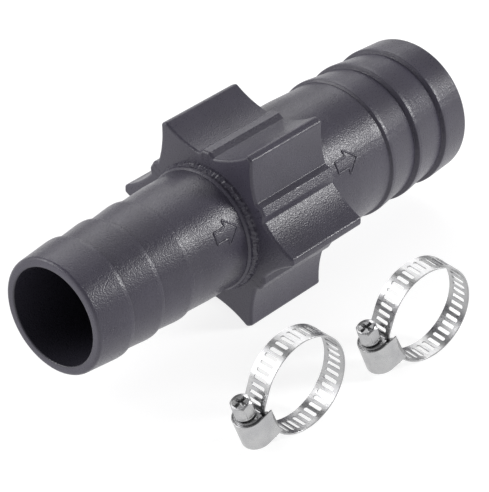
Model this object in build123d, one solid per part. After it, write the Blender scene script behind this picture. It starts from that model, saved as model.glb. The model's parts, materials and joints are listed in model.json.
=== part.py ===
from build123d import *
import os
from math import atan2, cos, degrees, pi, radians, sin, sqrt

# Inline check valve for hose, with the two worm-drive hose clamps of its kit. Millimetres.
# The origin is the middle of the grip hub on the flow axis. +X is the direction of flow, from
# the 1-1/4 in tail to the 1-1/2 in tail, and +Z is up. The hub stands on its two lower points.

os.makedirs("parts", exist_ok=True)

# ---- driving dimensions: grip hub
HUB_HALF_LENGTH = 13.4
HUB_POINTS = 6
POINT_RADIUS = 27.55
POINT_HALF_WIDTH = 0.95
VALLEY_RADIUS = 19.9
RIB_TOP_RADIUS = 20.95
RIB_BASE_HALF_WIDTH = 2.5
RIB_TOP_HALF_WIDTH = 1.1
SIDE_SAGITTA = 0.6
HUB_EDGE_ROUND = 0.6
POINT_CORNER_ROUND = 0.85
CAVITY_RADIUS = 16.8
LEDGE_X = 16.0
OVERRUN = 1.0  # how far a cutting tool runs past the face that it cuts
EMBED = 0.5    # how far a boss or an arm runs into the solid that it stands on

# ---- driving dimensions: outlet tail, for hose of 1-1/2 in bore
OUTLET_END_X = 68.2
OUTLET_TUBE_RADIUS = 18.9
OUTLET_NECK_RADIUS = 18.45
OUTLET_TAPER_XS = (24.0, 34.0)
OUTLET_CREST_RADIUS = 19.15
OUTLET_STEP_RADIUS = 18.0
OUTLET_MOUTH_RADIUS = 18.65
OUTLET_BORE_RADIUS = 15.7
OUTLET_CREST_XS = (36.4, 47.4, 58.5)

# ---- driving dimensions: inlet tail, for hose of 1-1/4 in bore
INLET_END_X = -67.4
INLET_TUBE_RADIUS = 15.75
INLET_NECK_RADIUS = 15.5
INLET_TAPER_XS = (-25.0, -32.0)
INLET_CREST_RADIUS = 16.0
INLET_STEP_RADIUS = 15.1
INLET_MOUTH_RADIUS = 15.1
INLET_BORE_RADIUS = 12.7
INLET_CREST_XS = (-35.3, -45.8, -56.2)
CREST_LAND = 1.4
CREST_ROUND = 0.25
MOUTH_ROUND = 0.9
WELD_RING_RADIUS = 17.25
WELD_RING_FOOT_RADIUS = 16.55
WELD_RING_LENGTH = 2.9
EDGE_BREAK = 0.4
PLUG_CLEARANCE = 0.05
PLUG_END_X = -4.0
SEAT_BORE_RADIUS = 11.5
SEAT_BORE_XS = (-12.0, -10.0)
SEAT_LIP_RADIUS = 12.6
SEAT_LIP_HEIGHT = 0.6
GROOVE_X = (-9.6, -7.2)
GROOVE_RADIUS = 15.4
O_RING_CLEARANCE = 0.01

# ---- driving dimensions: poppet and its guide
SEAL_GAP = 0.05
SEAL_THICKNESS = 1.2
SEAL_RADIUS = 13.2
SEAL_INNER_RADIUS = 9.0
POPPET_RADIUS = 13.4
POPPET_THICKNESS = 2.4
POPPET_BOSS_RADIUS = 4.2
POPPET_BOSS_LENGTH = 2.2
POPPET_BACK_ROUND = 1.2
SPIGOT_CLEARANCE = 0.05
RETAINER_RADIUS = 10.8
RETAINER_THICKNESS = 0.9
STEM_RADIUS = 2.5
STEM_FRONT_INSET = 2.4
STEM_END_X = 21.4
SCREW_SHANK_RADIUS = 1.5
SCREW_HEAD_RADIUS = 2.8
SCREW_HEAD_HEIGHT = 1.5
SCREW_LENGTH = 8.0
SCREW_HEAD_ROUND = 0.8
SCREW_SLOT = (1.4, 0.7)
SCREW_CLEARANCE = 0.1
TAPPED_RUN_OUT = 0.5
GUIDE_RING_INNER_RADIUS = 14.8
GUIDE_RING_LENGTH = 3.0
GUIDE_BOSS_RADIUS = 4.6
GUIDE_BOSS_X = (10.6, 17.6)
GUIDE_ARMS = 4
GUIDE_ARM_WIDTH = 2.0
GUIDE_ARM_ANGLE = 45.0
STEM_CLEARANCE = 0.05
CLIP_X = 19.2
CLIP_THICKNESS = 0.8
CLIP_GROOVE_RADIUS = 1.9
CLIP_RADIUS = 4.2
CLIP_MOUTH = 2.6
SPRING_RADIUS = 5.4
SPRING_WIRE_RADIUS = 0.45
SPRING_TURNS = 4.5
SPRING_END_GAP = 0.05

# ---- driving dimensions: hose clamps
BAND_RADIUS = 12.45
BAND_THICKNESS = 0.4
BAND_WIDTH = 6.8
SLOTS_ROUND_RING = 42
SLOT_LENGTH = 4.1
SLOT_WIDTH = 0.95
HINGE_GAP = 0.3
FREE_ARC = 140.0
TAIL_LIFT = 0.65
BLEND_RADIUS = 5.0
TAIL_ANGLE = 13.5
ANCHOR_END_Z = 1.0
SADDLE_THICKNESS = 0.3
SADDLE_TOP_Z = 1.8
LUG_THICKNESS = 0.35
LUG_REACH = 1.9
LUG_INSET = 1.2
HOUSING_Z = (-4.85, 3.42)
DOME_AXIS_X = -15.15
HOUSING_OUTER_RADIUS = 4.03
HOUSING_WALL = 0.35
HOUSING_END_WALL = 0.45
HOUSING_LIP = 0.35
BOSS_RADIUS = 3.35
BOSS_RISE = 0.3
HOUSING_END_CLEARANCE = 0.25
SCREW_AXIS_X = -15.65
WORM_CREST_RADIUS = 2.1
WORM_ROOT_RADIUS = 1.5
WORM_RUN_OUT = 0.8
THREAD_HALF_WIDTHS = (0.5, 0.25)
THREAD_ROOTING = 0.2
NECK_RADIUS = 1.3
JOURNAL_RADIUS = 1.0
BEARING_CLEARANCE = 0.08
END_GAP = 0.3
FLANGE_RADIUS = 2.5
FLANGE_HEIGHT = 0.8
FLANGE_CHAMFER = 0.2
HEX_ACROSS_FLATS = 4.9
HEX_HEIGHT = 3.9
HEX_CHAMFER = (0.3, 0.55)
RECESS_WIDTH = 0.9
RECESS_LENGTH = 3.4
RECESS_DEPTH = 1.5
HOUSING_TILT = -22.0
BLIND_PITCHES = 4  # slot pitches at the anchored end of the strap that have no slot
# where each ring touches the floor, and how far it is turned about the vertical
CLAMP_PLACES = {"clamp_a": (-37.1, -48.6, -6.5), "clamp_b": (5.5, -52.4, -10.5)}

# ---- worked out from the driving dimensions
SEAT_X = PLUG_END_X + SEAT_LIP_HEIGHT
SEAL_FRONT_X = SEAT_X + SEAL_GAP
POPPET_FRONT_X = SEAL_FRONT_X + SEAL_THICKNESS
POPPET_BACK_X = POPPET_FRONT_X + POPPET_THICKNESS
GUIDE_FRONT_X = LEDGE_X - GUIDE_RING_LENGTH
SLOT_PITCH = 2 * pi * BAND_RADIUS / SLOTS_ROUND_RING
HINGE = (BAND_RADIUS, 0.0)
TAIL_RADIUS = 2 * BAND_RADIUS + TAIL_LIFT
END_WALL_TOP_Z = HOUSING_Z[1] - HOUSING_LIP


def ring_x(x0, x1, outer, inner=0.0):
    """A tube or disc about the flow axis, from x0 to x1."""
    solid = Pos((x0 + x1) / 2, 0, 0) * Rot(0, 90, 0) * Cylinder(outer, x1 - x0)
    if inner:
        solid -= Pos((x0 + x1) / 2, 0, 0) * Rot(0, 90, 0) * Cylinder(inner, x1 - x0 + 2 * OVERRUN)
    return solid


def turned(points):
    """A solid of revolution about the flow axis, from (x, radius) points."""
    outline = Polyline(*[(x, r, 0) for x, r in points], close=True)
    return revolve(make_face(outline), Axis.X, 360)


def barb_points(crest_xs, mouth_x, neck_radius, step_radius, crest_radius, mouth_radius):
    """Outline of the hose barbs, from the tube's neck to the mouth: each crest is a short land
    that drops square towards the hub and slopes away towards the mouth."""
    way = 1 if mouth_x > 0 else -1
    points = []
    foot = neck_radius
    for crest_x in crest_xs:
        points.append((crest_x, foot))
        points.append((crest_x, crest_radius - CREST_ROUND))
        points.append((crest_x + way * CREST_ROUND, crest_radius))
        points.append((crest_x + way * CREST_LAND, crest_radius))
        foot = step_radius
    points.append((mouth_x - way * MOUTH_ROUND, mouth_radius))
    shoulder = MOUTH_ROUND * (1 - sqrt(0.5))
    points.append((mouth_x - way * shoulder, mouth_radius - shoulder))
    points.append((mouth_x, mouth_radius - MOUTH_ROUND))
    return points


def star_outline():
    """The hub's six-pointed section, with a small rib standing in each valley."""
    def at(angle, radius, side):
        a = radians(angle)
        return (radius * cos(a) - side * sin(a), radius * sin(a) + side * cos(a))

    sector = 360 / HUB_POINTS
    lines = []
    for k in range(HUB_POINTS):
        tip = k * sector
        valley = tip + sector / 2
        tip_start = at(tip, POINT_RADIUS, -POINT_HALF_WIDTH)
        tip_end = at(tip, POINT_RADIUS, POINT_HALF_WIDTH)
        rib_foot = at(valley, VALLEY_RADIUS, -RIB_BASE_HALF_WIDTH)
        rib_start = at(valley, RIB_TOP_RADIUS, -RIB_TOP_HALF_WIDTH)
        rib_end = at(valley, RIB_TOP_RADIUS, RIB_TOP_HALF_WIDTH)
        rib_far_foot = at(valley, VALLEY_RADIUS, RIB_BASE_HALF_WIDTH)
        next_tip = at(tip + sector, POINT_RADIUS, -POINT_HALF_WIDTH)
        lines.append(Line(tip_start, tip_end))
        lines.append(SagittaArc(tip_end, rib_foot, SIDE_SAGITTA))
        lines.append(Line(rib_foot, rib_start))
        lines.append(Line(rib_start, rib_end))
        lines.append(Line(rib_end, rib_far_foot))
        lines.append(SagittaArc(rib_far_foot, next_tip, SIDE_SAGITTA))
    star = make_face(lines)
    corners = [v for v in star.vertices() if Vector(v.X, v.Y, 0).length > POINT_RADIUS - EMBED]
    return fillet(corners, POINT_CORNER_ROUND)


def valve_body():
    """Hub and outlet tail, moulded in one, with a cavity that is open towards the inlet."""
    hub = extrude(Plane.YZ.offset(-HUB_HALF_LENGTH) * star_outline(), 2 * HUB_HALF_LENGTH)
    rims = [e for face in (hub.faces().sort_by(Axis.X)[0], hub.faces().sort_by(Axis.X)[-1])
            for e in face.outer_wire().edges()]
    hub = chamfer(rims, HUB_EDGE_ROUND)
    outline = [(0, 0), (0, OUTLET_TUBE_RADIUS), (OUTLET_TAPER_XS[0], OUTLET_TUBE_RADIUS)]
    outline += [(OUTLET_TAPER_XS[1], OUTLET_NECK_RADIUS)]
    outline += barb_points(
        OUTLET_CREST_XS, OUTLET_END_X, OUTLET_NECK_RADIUS,
        OUTLET_STEP_RADIUS, OUTLET_CREST_RADIUS, OUTLET_MOUTH_RADIUS,
    )
    outline += [(OUTLET_END_X, 0)]
    solid = hub + turned(outline)
    solid -= ring_x(-HUB_HALF_LENGTH - OVERRUN, LEDGE_X, CAVITY_RADIUS)
    solid -= ring_x(LEDGE_X - OVERRUN, OUTLET_END_X + OVERRUN, OUTLET_BORE_RADIUS)
    return solid


def inlet_tail():
    """Inlet tail with the plug that fits the hub's cavity, its weld ring and the valve seat."""
    collar_x = -HUB_HALF_LENGTH - WELD_RING_LENGTH
    collar_middle_x = -HUB_HALF_LENGTH - WELD_RING_LENGTH / 2
    plug_radius = CAVITY_RADIUS - PLUG_CLEARANCE
    outline = [(INLET_END_X, INLET_BORE_RADIUS + EDGE_BREAK)]
    outline += [(INLET_END_X + EDGE_BREAK, INLET_BORE_RADIUS)]
    outline += [(SEAT_BORE_XS[0], INLET_BORE_RADIUS), (SEAT_BORE_XS[1], SEAT_BORE_RADIUS)]
    outline += [(SEAT_X, SEAT_BORE_RADIUS + EDGE_BREAK), (SEAT_X, SEAT_LIP_RADIUS)]
    outline += [(PLUG_END_X, SEAT_LIP_RADIUS + EDGE_BREAK), (PLUG_END_X, plug_radius)]
    outline += [(GROOVE_X[1], plug_radius), (GROOVE_X[1], GROOVE_RADIUS)]
    outline += [(GROOVE_X[0], GROOVE_RADIUS), (GROOVE_X[0], plug_radius)]
    outline += [(-HUB_HALF_LENGTH, plug_radius), (-HUB_HALF_LENGTH, WELD_RING_RADIUS)]
    outline += [(collar_middle_x, WELD_RING_RADIUS)]
    outline += [(collar_x + EDGE_BREAK, WELD_RING_FOOT_RADIUS)]
    outline += [(collar_x, INLET_TUBE_RADIUS), (INLET_TAPER_XS[0], INLET_TUBE_RADIUS)]
    outline += [(INLET_TAPER_XS[1], INLET_NECK_RADIUS)]
    outline += barb_points(
        INLET_CREST_XS, INLET_END_X, INLET_NECK_RADIUS,
        INLET_STEP_RADIUS, INLET_CREST_RADIUS, INLET_MOUTH_RADIUS,
    )
    return turned(outline)


def body_o_ring():
    """Seals the plug of the inlet tail in the hub's cavity."""
    section_radius = (CAVITY_RADIUS - GROOVE_RADIUS) / 2 - O_RING_CLEARANCE
    middle = ((GROOVE_X[0] + GROOVE_X[1]) / 2, 0, 0)
    return Pos(*middle) * Rot(0, 90, 0) * Torus((CAVITY_RADIUS + GROOVE_RADIUS) / 2, section_radius)


def stem_guide():
    """Spider on the cavity's ledge: a ring, four arms and the boss that the stem runs in."""
    solid = ring_x(GUIDE_FRONT_X, LEDGE_X, CAVITY_RADIUS - PLUG_CLEARANCE, GUIDE_RING_INNER_RADIUS)
    for k in range(GUIDE_ARMS):
        arm = Box(GUIDE_RING_LENGTH, GUIDE_ARM_WIDTH, GUIDE_RING_INNER_RADIUS)
        arm = Pos((GUIDE_FRONT_X + LEDGE_X) / 2, 0, GUIDE_RING_INNER_RADIUS / 2 + EMBED) * arm
        solid += Rot(k * 360 / GUIDE_ARMS + GUIDE_ARM_ANGLE, 0, 0) * arm
    solid += ring_x(*GUIDE_BOSS_X, GUIDE_BOSS_RADIUS)
    bore_radius = STEM_RADIUS + STEM_CLEARANCE
    return solid - ring_x(GUIDE_BOSS_X[0] - OVERRUN, GUIDE_BOSS_X[1] + OVERRUN, bore_radius)


def poppet():
    """The disc that shuts on the seat, with a spigot for its seal and a boss for the stem."""
    solid = ring_x(POPPET_FRONT_X, POPPET_BACK_X, POPPET_RADIUS)
    back_rim = solid.edges().filter_by(GeomType.CIRCLE).sort_by(Axis.X)[-1]
    solid = fillet(back_rim, POPPET_BACK_ROUND)
    solid += ring_x(SEAL_FRONT_X, POPPET_FRONT_X + EMBED, SEAL_INNER_RADIUS - SPIGOT_CLEARANCE)
    boss_end = POPPET_BACK_X + POPPET_BOSS_LENGTH
    solid += ring_x(POPPET_BACK_X - EMBED, boss_end, POPPET_BOSS_RADIUS)
    stem_front = SEAL_FRONT_X + STEM_FRONT_INSET
    solid -= ring_x(stem_front, boss_end + OVERRUN, STEM_RADIUS)
    hole_radius = SCREW_SHANK_RADIUS + SCREW_CLEARANCE
    return solid - ring_x(SEAL_FRONT_X - OVERRUN, stem_front + OVERRUN, hole_radius)


def poppet_seal():
    """Flat rubber washer that meets the seat's lip."""
    return ring_x(SEAL_FRONT_X, POPPET_FRONT_X, SEAL_RADIUS, SEAL_INNER_RADIUS)


def seal_retainer():
    """Stainless disc that holds the seal's inner edge against the poppet."""
    front = SEAL_FRONT_X - RETAINER_THICKNESS
    return ring_x(front, SEAL_FRONT_X, RETAINER_RADIUS, SCREW_SHANK_RADIUS + SCREW_CLEARANCE)


def retainer_screw():
    """Pan head screw through retainer and poppet into the stem."""
    seat = SEAL_FRONT_X - RETAINER_THICKNESS
    head = ring_x(seat - SCREW_HEAD_HEIGHT, seat, SCREW_HEAD_RADIUS)
    head = fillet(head.edges().filter_by(GeomType.CIRCLE).sort_by(Axis.X)[0], SCREW_HEAD_ROUND)
    slot = Box(*SCREW_SLOT, 2 * (SCREW_HEAD_RADIUS + OVERRUN))
    slot = Pos(seat - SCREW_HEAD_HEIGHT, 0, 0) * slot
    return head + ring_x(seat - EMBED, seat + SCREW_LENGTH, SCREW_SHANK_RADIUS) - slot


def guide_stem():
    """Stainless stem, tapped at the front and grooved for the clip at the back."""
    front = SEAL_FRONT_X + STEM_FRONT_INSET
    solid = ring_x(front, STEM_END_X, STEM_RADIUS)
    solid = chamfer(solid.edges().filter_by(GeomType.CIRCLE).sort_by(Axis.X)[-1], EDGE_BREAK)
    tapped_end = SEAL_FRONT_X - RETAINER_THICKNESS + SCREW_LENGTH + TAPPED_RUN_OUT
    solid -= ring_x(front - OVERRUN, tapped_end, SCREW_SHANK_RADIUS)
    groove_outer = STEM_RADIUS + OVERRUN
    return solid - ring_x(CLIP_X, CLIP_X + CLIP_THICKNESS, groove_outer, CLIP_GROOVE_RADIUS)


def stem_clip():
    """Open ring in the stem's groove: it keeps poppet, spring and guide together as a cartridge."""
    solid = ring_x(CLIP_X, CLIP_X + CLIP_THICKNESS, CLIP_RADIUS, CLIP_GROOVE_RADIUS)
    mouth = Box(CLIP_THICKNESS + 2 * OVERRUN, CLIP_MOUTH, 2 * CLIP_RADIUS)
    return solid - Pos(CLIP_X + CLIP_THICKNESS / 2, 0, -CLIP_RADIUS) * mouth


def return_spring():
    """Coil between the poppet's back and the guide's arms. Each end stands off by the wire."""
    gap = SPRING_WIRE_RADIUS + SPRING_END_GAP
    height = GUIDE_FRONT_X - POPPET_BACK_X - 2 * gap
    path = Helix(height / SPRING_TURNS, height, SPRING_RADIUS)
    section = Plane(path @ 0, z_dir=path % 0) * Circle(SPRING_WIRE_RADIUS)
    coil = sweep(section, path=path, is_frenet=True)
    return Pos(POPPET_BACK_X + gap, 0, 0) * Rot(0, 90, 0) * coil


# ---- hose clamp, in its own frame: ring axis along Y, housing at -X, screw head up at +Z
def band_tail_geometry():
    """Where the free end of the band leaves the ring and how it reaches the arc about the
    hinge on which it slides through the housing. Returns the points of its centre line."""
    a = radians(FREE_ARC)
    leave = Vector(BAND_RADIUS * cos(a), BAND_RADIUS * sin(a))
    along = Vector(-sin(a), cos(a))
    inward = Vector(-cos(a), -sin(a))
    hinge = Vector(*HINGE)
    offset = leave + inward * BLEND_RADIUS - hinge
    reach = TAIL_RADIUS - BLEND_RADIUS
    half = offset.dot(along)
    straight = -half + sqrt(half * half - offset.dot(offset) + reach * reach)
    line_end = leave + along * straight
    centre = line_end + inward * BLEND_RADIUS
    out = (centre - hinge).normalized()
    tail_start = hinge + out * TAIL_RADIUS
    middle = centre + ((line_end - centre).normalized() + out).normalized() * BLEND_RADIUS
    return leave, line_end, middle, tail_start, degrees(atan2(out.Y, out.X))


def free_band_line():
    """Centre line of the free half of the band, from the hinge over the top and down."""
    leave, line_end, middle, tail_start, start_angle = band_tail_geometry()
    gap = degrees(HINGE_GAP / 2 / BAND_RADIUS)
    return [
        CenterArc((0, 0), BAND_RADIUS, gap, FREE_ARC - gap),
        Line(leave, line_end),
        ThreePointArc(line_end, middle, tail_start),
        CenterArc(HINGE, TAIL_RADIUS, start_angle, 180 + TAIL_ANGLE - start_angle),
    ]


def slot_tool(point, tangent):
    """Cutter for one round-ended slot across the band, at a point of the centre line."""
    normal = Vector(tangent.Y, 0, -tangent.X)
    plane = Plane(origin=(point.X, 0, point.Y), x_dir=(0, 1, 0), z_dir=normal)
    return extrude(plane * SlotOverall(SLOT_LENGTH, SLOT_WIDTH), 2 * BAND_THICKNESS, both=True)


def upright(flat, width):
    """Turns a flat outline up into the plane of the ring and gives it a width along Y."""
    return Rot(90, 0, 0) * extrude(flat, width / 2, both=True)


def band_free_half():
    """Upper half of the strap: it flexes about the hinge, runs over the saddle and out."""
    edges = free_band_line()
    solid = upright(Sketch() + [trace(edge, BAND_THICKNESS) for edge in edges], BAND_WIDTH)
    line = Wire(edges)
    cutters = []
    for k in range(int(line.length / SLOT_PITCH)):
        distance = (k + 0.5) * SLOT_PITCH - HINGE_GAP / 2
        point = line.position_at(distance, position_mode=PositionMode.LENGTH)
        tangent = line.tangent_at(distance, position_mode=PositionMode.LENGTH)
        cutters.append(slot_tool(point, tangent))
    return solid - cutters


def band_fixed_half():
    """Lower half of the strap, from its anchored end on the saddle to the hinge."""
    gap = degrees(HINGE_GAP / 2 / BAND_RADIUS)
    start = 180 - degrees(ANCHOR_END_Z / BAND_RADIUS)
    edge = CenterArc((0, 0), BAND_RADIUS, start, 360 - gap - start)
    solid = upright(trace(edge, BAND_THICKNESS), BAND_WIDTH)
    cutters = []
    for k in range(SLOTS_ROUND_RING // 2 - BLIND_PITCHES):
        a = 2 * pi * (1 - (k + 0.5) / SLOTS_ROUND_RING)
        point = Vector(BAND_RADIUS * cos(a), BAND_RADIUS * sin(a))
        cutters.append(slot_tool(point, Vector(-sin(a), cos(a))))
    return solid - cutters


def ring_sector(inner, outer, z0, z1, y0, y1):
    """The stretch of a ring about the clamp's axis that lies beside the housing."""
    ring = Rot(90, 0, 0) * (Cylinder(outer, 2 * BAND_WIDTH) - Cylinder(inner, 3 * BAND_WIDTH))
    block = Box(BAND_RADIUS, y1 - y0, z1 - z0)
    return ring & (Pos(-BAND_RADIUS, (y0 + y1) / 2, (z0 + z1) / 2) * block)


def saddle():
    """Curved bridge under the band, held by the housing's lugs."""
    outer = BAND_RADIUS - BAND_THICKNESS / 2
    half_width = BAND_WIDTH / 2
    inner = outer - SADDLE_THICKNESS
    return ring_sector(inner, outer, HOUSING_Z[0], SADDLE_TOP_Z, -half_width, half_width)


def rod_z(z0, z1, radius):
    """A cylinder about Z from z0 to z1."""
    return Pos(0, 0, (z0 + z1) / 2) * Cylinder(radius, z1 - z0)


def dome(radius, z0, z1):
    """The housing's section from z0 to z1: a round back with straight sides up to the ring."""
    back = Pos(DOME_AXIS_X, 0, 0) * rod_z(z0, z1, radius)
    sides = Box(-DOME_AXIS_X, 2 * radius, z1 - z0)
    return back + Pos(DOME_AXIS_X / 2, 0, (z0 + z1) / 2) * sides


def housing():
    """Pressed shell over the worm: a dome with two sides, ends that carry the screw, the head's
    end set in below the shell's rim with a raised boss on it, and lugs folded in under the
    saddle."""
    z0, z1 = HOUSING_Z
    inner = HOUSING_OUTER_RADIUS - HOUSING_WALL
    lug_outer = BAND_RADIUS - BAND_THICKNESS / 2 - SADDLE_THICKNESS
    lug_inner = lug_outer - LUG_THICKNESS
    tunnel_x = HINGE[0] - TAIL_RADIUS - BAND_THICKNESS / 2 - HOUSING_END_CLEARANCE
    solid = dome(HOUSING_OUTER_RADIUS, z0, z1)
    solid -= Rot(90, 0, 0) * Cylinder(lug_inner, 4 * HOUSING_OUTER_RADIUS)
    solid -= dome(inner, z0 + HOUSING_END_WALL, END_WALL_TOP_Z - HOUSING_END_WALL)
    solid -= dome(inner, END_WALL_TOP_Z, z1 + OVERRUN)
    boss = rod_z(END_WALL_TOP_Z - HOUSING_END_WALL, z1 + BOSS_RISE, BOSS_RADIUS)
    solid += Pos(DOME_AXIS_X, 0, 0) * boss
    tunnel = Box(-tunnel_x, 2 * inner, z1 - z0 + 2 * OVERRUN)
    solid -= Pos(tunnel_x / 2, 0, (z0 + z1) / 2) * tunnel
    for side in (-1, 1):
        edge = side * (inner + HOUSING_WALL / 2)
        tip = side * (inner - LUG_REACH)
        solid += ring_sector(
            lug_inner, lug_outer, z0 + LUG_INSET, z1 - LUG_INSET, min(edge, tip), max(edge, tip)
        )
    reach = 2 * (HOUSING_END_WALL + BOSS_RISE)
    neck_hole = rod_z(END_WALL_TOP_Z - reach, END_WALL_TOP_Z + reach, NECK_RADIUS + BEARING_CLEARANCE)
    journal_hole = rod_z(z0 - reach, z0 + reach, JOURNAL_RADIUS + BEARING_CLEARANCE)
    solid -= Pos(SCREW_AXIS_X, 0, 0) * neck_hole
    return solid - Pos(SCREW_AXIS_X, 0, 0) * journal_hole


def clamp_screw():
    """Worm screw: hex head with a cross recess, flange, neck, threaded worm and end journal."""
    z0, z1 = HOUSING_Z
    worm_top = END_WALL_TOP_Z - HOUSING_END_WALL - END_GAP
    worm_bottom = z0 + HOUSING_END_WALL + END_GAP
    flange_bottom = z1 + BOSS_RISE + END_GAP
    flange_top = flange_bottom + FLANGE_HEIGHT
    head_top = flange_top + HEX_HEIGHT
    flange = rod_z(flange_bottom, flange_top, FLANGE_RADIUS)
    flange = chamfer(flange.edges().sort_by(Axis.Z)[0], FLANGE_CHAMFER)
    corner = HEX_ACROSS_FLATS / sqrt(3)
    head = extrude(Pos(0, 0, flange_top) * RegularPolygon(corner, 6), HEX_HEIGHT)
    cap = rod_z(flange_top, head_top, corner)
    head &= chamfer(cap.edges().filter_by(GeomType.CIRCLE).sort_by(Axis.Z)[-1], *HEX_CHAMFER)
    solid = flange + head
    solid += rod_z(worm_top - EMBED, flange_bottom + EMBED, NECK_RADIUS)
    solid += rod_z(worm_bottom, worm_top, WORM_ROOT_RADIUS)
    solid += rod_z(z0, worm_bottom + EMBED, JOURNAL_RADIUS)
    for turn in (0, 90):
        recess = Box(RECESS_LENGTH, RECESS_WIDTH, 2 * RECESS_DEPTH)
        solid -= Pos(0, 0, head_top) * Rot(0, 0, turn) * recess
    height = worm_top - worm_bottom - 2 * WORM_RUN_OUT
    path = Helix(SLOT_PITCH, height, WORM_ROOT_RADIUS)
    depth = WORM_CREST_RADIUS - WORM_ROOT_RADIUS
    foot, crest = THREAD_HALF_WIDTHS
    ridge = Polyline(
        (-THREAD_ROOTING, -foot), (depth, -crest), (depth, crest), (-THREAD_ROOTING, foot), close=True
    )
    profile = Plane(origin=path @ 0, x_dir=(1, 0, 0), z_dir=path % 0) * make_face(ridge)
    solid += Pos(0, 0, worm_bottom + WORM_RUN_OUT) * sweep(profile, path=path, is_frenet=True)
    return Pos(SCREW_AXIS_X, 0, 0) * solid


def placed(name, solid):
    """Stands a clamp piece on the floor at its clamp's place."""
    x, y, turn = CLAMP_PLACES[name]
    floor_z = star_outline().bounding_box().min.Y
    ring_height = floor_z + BAND_RADIUS + BAND_THICKNESS / 2
    return Pos(x, y, ring_height) * Rot(0, 0, turn) * Rot(0, HOUSING_TILT, 0) * solid


PIECES = {
    "valve_body": valve_body,
    "inlet_tail": inlet_tail,
    "body_o_ring": body_o_ring,
    "stem_guide": stem_guide,
    "poppet": poppet,
    "poppet_seal": poppet_seal,
    "seal_retainer": seal_retainer,
    "retainer_screw": retainer_screw,
    "guide_stem": guide_stem,
    "stem_clip": stem_clip,
    "return_spring": return_spring,
}
CLAMP_PIECES = {
    "band_fixed_half": band_fixed_half,
    "band_free_half": band_free_half,
    "saddle": saddle,
    "housing": housing,
    "screw": clamp_screw,
}

for name, make in PIECES.items():
    export_step(make(), f"parts/{name}.step")
for piece, make in CLAMP_PIECES.items():
    solid = make()
    for clamp in CLAMP_PLACES:
        export_step(placed(clamp, solid), f"parts/{clamp}_{piece}.step")
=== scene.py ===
import json
from math import acos, atan, atan2, cos, floor, pi, radians, sin, sqrt, tan

import bmesh
import bpy
from mathutils import Matrix, Quaternion, Vector, noise


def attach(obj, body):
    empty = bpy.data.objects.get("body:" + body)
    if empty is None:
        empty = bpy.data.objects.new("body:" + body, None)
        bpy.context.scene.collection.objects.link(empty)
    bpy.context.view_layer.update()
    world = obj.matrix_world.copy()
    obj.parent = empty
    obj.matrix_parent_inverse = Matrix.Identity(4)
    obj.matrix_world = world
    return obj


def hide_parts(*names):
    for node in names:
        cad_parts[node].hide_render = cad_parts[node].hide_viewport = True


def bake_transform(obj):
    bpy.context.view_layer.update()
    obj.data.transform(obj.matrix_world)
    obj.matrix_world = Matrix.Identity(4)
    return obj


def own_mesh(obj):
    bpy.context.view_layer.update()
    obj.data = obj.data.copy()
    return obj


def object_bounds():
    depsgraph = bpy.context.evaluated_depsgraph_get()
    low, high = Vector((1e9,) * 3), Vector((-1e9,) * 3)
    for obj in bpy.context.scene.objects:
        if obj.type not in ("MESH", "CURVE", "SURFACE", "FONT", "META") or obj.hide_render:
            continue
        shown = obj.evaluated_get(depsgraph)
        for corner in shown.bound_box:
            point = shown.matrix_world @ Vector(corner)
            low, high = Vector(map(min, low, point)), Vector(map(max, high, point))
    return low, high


# Looks of the hose check valve and its two worm-drive clamps. Shapes are in millimetres in the
# CAD part's frame, or in a clamp's own frame, and become metres where a mesh is made.

MM = 0.001
EASED_ANGLE = radians(60)  # edges sharper than this are eased
LARGE_FACE_WEIGHT = 80

# ---- grip hub
HUB_POINTS = 6
HUB_HALF_LENGTH = 13.4
POINT_RADIUS = 27.55
POINT_HALF_WIDTH = 0.95
VALLEY_RADIUS = 19.9
RIB_TOP_RADIUS = 20.95
RIB_BASE_HALF_WIDTH = 2.5
RIB_TOP_HALF_WIDTH = 1.1
SIDE_SAGITTA = 0.6
SIDE_STEPS = 10
POINT_ROUND = 0.85
RIB_FOOT_ROUND = 0.4
RIB_TOP_ROUND = 0.5
HUB_EDGE_ROUND = 0.8
CAVITY_RADIUS = 16.8
LEDGE_X = 16.0
INNER_EDGE_ROUND = 0.2

# ---- hose tails
OUTLET_END_X = 68.2
OUTLET_TUBE_RADIUS = 18.9
OUTLET_NECK_RADIUS = 18.45
OUTLET_TAPER_XS = (24.0, 34.0)
OUTLET_TAPER_ROUNDS = (30, 20)
OUTLET_CREST_RADIUS = 19.15
OUTLET_STEP_RADIUS = 18.0
OUTLET_MOUTH_RADIUS = 18.65
OUTLET_BORE_RADIUS = 15.7
OUTLET_CREST_XS = (36.4, 47.4, 58.5)
OUTLET_FOOT_ROUND = 0.45
OUTLET_FOOT_WIDTH = 0.6
INLET_END_X = -67.4
INLET_TUBE_RADIUS = 15.85
INLET_NECK_RADIUS = 15.5
INLET_TAPER_XS = (-25.0, -32.0)
INLET_TAPER_ROUNDS = (30, 15)
INLET_CREST_RADIUS = 16.0
INLET_STEP_RADIUS = 15.1
INLET_MOUTH_RADIUS = 15.1
INLET_BORE_RADIUS = 12.7
INLET_CREST_XS = (-35.3, -45.8, -56.2)
CREST_ROUND = 0.3
CREST_LAND = 1.4
CREST_LAND_ROUND = 1.5
STEP_SLOPE = 0.3
STEP_FOOT_SHARE = 0.3  # how far before its crest a step starts, as a share of its slope
STEP_FOOT_ROUND = 0.15
MOUTH_ROUND = 0.9
BORE_EDGE_ROUND = 0.4
TAIL_SEGMENTS = 288

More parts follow.
